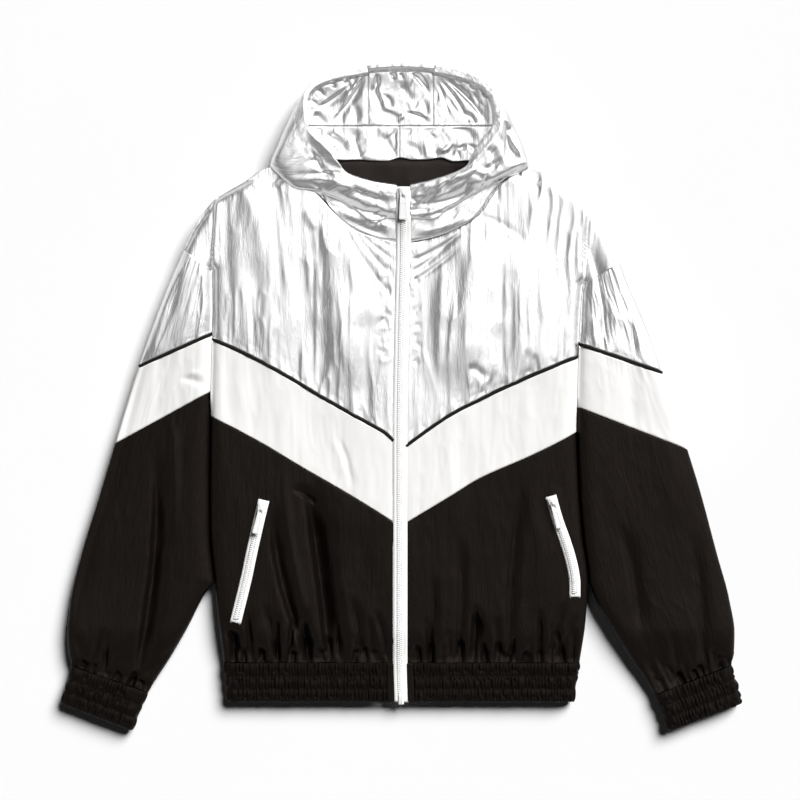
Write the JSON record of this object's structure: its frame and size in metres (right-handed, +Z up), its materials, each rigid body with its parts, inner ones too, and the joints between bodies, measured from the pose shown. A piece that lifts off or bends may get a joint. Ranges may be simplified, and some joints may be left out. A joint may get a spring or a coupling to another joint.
{
  "type": "hooded track jacket laid flat",
  "caption": "Hooded zip track jacket with silver yokes, white chevron bands and black lower cloth, elastic hem and cuffs, laid flat on its back with the hood open.",
  "frame": {"origin": "centre of the laid jacket's outline, on the surface it lies on", "axes": "+Z up out of the surface, +Y from the hem towards the hood, +X towards the wearer's left sleeve"},
  "size_m": [0.8516, 0.831, 0.041],
  "materials": {
    "silver_taffeta": "crinkled nylon taffeta with a metallised silver face",
    "white_taffeta": "smooth white nylon taffeta",
    "black_taffeta": "crinkled brownish black nylon taffeta, soft sheen",
    "black_elastic": "black taffeta ruched over three channels of elastic",
    "black_piping": "black bias cloth over cord",
    "black_lining": "matt black polyester lining",
    "zip_tape": "white woven polyester tape",
    "zip_teeth": "moulded white acetal",
    "enamelled_zinc": "die-cast zinc with white enamel"
  },
  "bodies": {
    "garment": {"front_yoke_right": "silver_taffeta", "front_piping_right": "black_piping", "front_band_right": "white_taffeta", "front_lower_right": "black_taffeta", "sleeve_top_right": "silver_taffeta", "sleeve_piping_right": "black_piping", "sleeve_band_right": "white_taffeta", "sleeve_lower_right": "black_taffeta", "cuff_right": "black_elastic", "hem_tab_right": "black_taffeta", "hood_side_right": "silver_taffeta", "hood_lining_right": "silver_taffeta", "hood_stand_right": "silver_taffeta", "zip_tape_right": "zip_tape", "pocket_tape_right": "zip_tape", "pocket_chain_right": "zip_teeth", "pocket_right_slider": "enamelled_zinc", "front_yoke_left": "silver_taffeta", "front_piping_left": "black_piping", "front_band_left": "white_taffeta", "front_lower_left": "black_taffeta", "sleeve_top_left": "silver_taffeta", "sleeve_piping_left": "black_piping", "sleeve_band_left": "white_taffeta", "sleeve_lower_left": "black_taffeta", "cuff_left": "black_elastic", "hem_tab_left": "black_taffeta", "hood_side_left": "silver_taffeta", "hood_lining_left": "silver_taffeta", "hood_stand_left": "silver_taffeta", "zip_tape_left": "zip_tape", "pocket_tape_left": "zip_tape", "pocket_chain_left": "zip_teeth", "pocket_left_slider": "enamelled_zinc", "back_yoke": "silver_taffeta", "back_piping": "black_piping", "back_band": "white_taffeta", "back_lower": "black_taffeta", "hem_band": "black_elastic", "hood_centre": "silver_taffeta", "hood_lining_centre": "silver_taffeta", "neck_lining": "black_lining", "zip_chain": "zip_teeth", "zip_box": "zip_teeth", "zip_slider": "enamelled_zinc"},
    "front_pull": {"zip_pull": "enamelled_zinc"},
    "right_pocket_pull": {"pocket_right_pull": "enamelled_zinc"},
    "left_pocket_pull": {"pocket_left_pull": "enamelled_zinc"}
  },
  "joints": [
    {"name": "front_pull_swing", "type": "hinge", "parent": "garment", "child": "front_pull", "pos_m": [0.0025, 0.25382, 0.03803], "axis": [-1, 0, 0], "range_deg": [0, 150]},
    {"name": "right_pocket_pull_swing", "type": "hinge", "parent": "garment", "child": "right_pocket_pull", "pos_m": [-0.17382, -0.13641, 0.03346], "axis": [-0.9722, 0.2341, 0], "range_deg": [0, 150]},
    {"name": "left_pocket_pull_swing", "type": "hinge", "parent": "garment", "child": "left_pocket_pull", "pos_m": [0.18818, -0.12948, 0.03348], "axis": [-0.9646, -0.2638, 0], "range_deg": [0, 150]}
  ]
}
